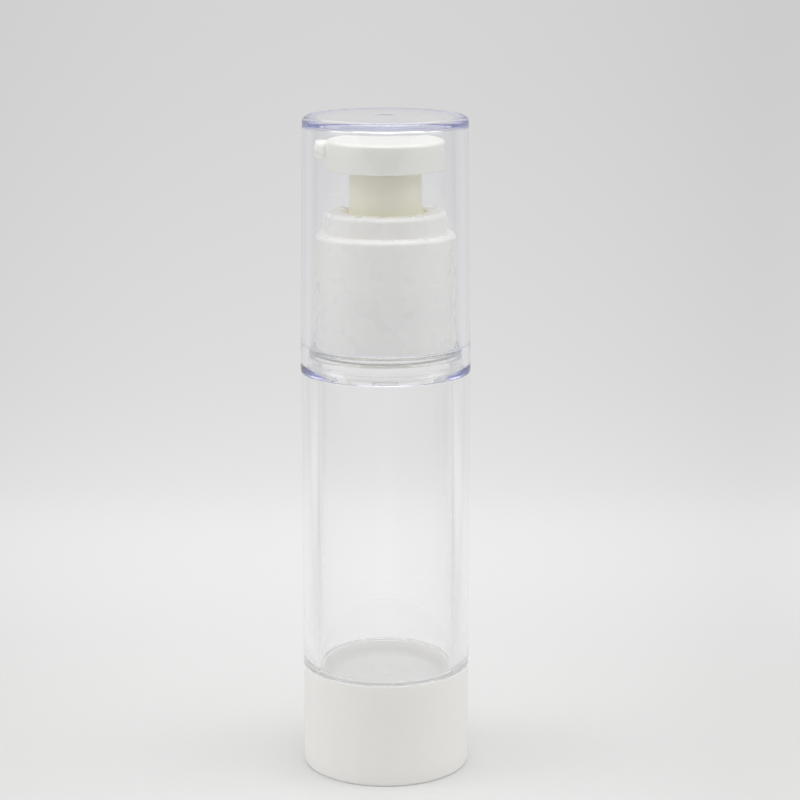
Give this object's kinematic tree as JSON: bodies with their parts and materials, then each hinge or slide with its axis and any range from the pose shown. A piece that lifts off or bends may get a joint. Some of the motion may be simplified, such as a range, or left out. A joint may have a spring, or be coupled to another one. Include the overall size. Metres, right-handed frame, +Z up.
{
  "type": "airless pump bottle",
  "caption": "Clear airless pump bottle with a push-button pump, a following piston in its bore, an opaque base and a clear overcap.",
  "frame": {"origin": "middle of the base's underside, on the bottle's axis, at the surface that the bottle stands on", "axes": "+Z up along the bottle, -X the way the nozzle points, +Y away from the picture's viewer"},
  "size_m": [0.0342, 0.0342, 0.1336],
  "materials": {
    "clear_body": "gloss",
    "clear_cap": "gloss",
    "white_button": "satin",
    "white_collar": "satin",
    "white_base": "satin",
    "natural_sleeve": "matte",
    "natural_housing": "matte",
    "soft_white": "matte",
    "foam_gasket": "matte",
    "steel_wire": "drawn",
    "steel_ball": "polished"
  },
  "bodies": {
    "bottle": {"bottle_body": "clear_body", "base_cup": "white_base", "pump_chassis": "natural_housing", "neck_gasket": "foam_gasket", "collar": "white_collar", "stem_retainer": "natural_housing", "return_spring": "steel_wire"},
    "cap": {"overcap": "clear_cap"},
    "moving_stem": {"stem": "natural_housing", "stem_plug": "soft_white"},
    "button": {"actuator": "white_button", "stem_sleeve": "natural_sleeve"},
    "pump_piston": {"pump_seal": "soft_white"},
    "follower": {"follower_piston": "soft_white"},
    "inlet_valve": {"inlet_ball": "steel_ball"}
  },
  "joints": [
    {"name": "overcap_lift", "type": "slide", "parent": "bottle", "child": "cap", "axis": [0, 0, 1], "range_m": [0, 0.055]},
    {"name": "pump_press", "type": "slide", "parent": "bottle", "child": "moving_stem", "axis": [0, 0, -1], "range_m": [0, 0.005], "stiffness_N_per_m": 1500, "springref_m": -0.004, "deforming": ["return_spring"]},
    {"name": "button_swivel", "type": "hinge", "parent": "moving_stem", "child": "button", "pos_m": [0, 0, 0.123], "axis": [0, 0, 1], "continuous": true},
    {"name": "seal_follow", "type": "slide", "parent": "bottle", "child": "pump_piston", "axis": [0, 0, -1], "range_m": [0, 0.0042]},
    {"name": "follower_rise", "type": "slide", "parent": "bottle", "child": "follower", "axis": [0, 0, 1], "range_m": [0, 0.0635]},
    {"name": "inlet_ball_lift", "type": "slide", "parent": "bottle", "child": "inlet_valve", "axis": [0, 0, 1], "range_m": [0, 0.0008]}
  ],
  "couplings": [
    {"joint": "seal_follow", "follows": "pump_press", "ratio": 0.84}
  ]
}
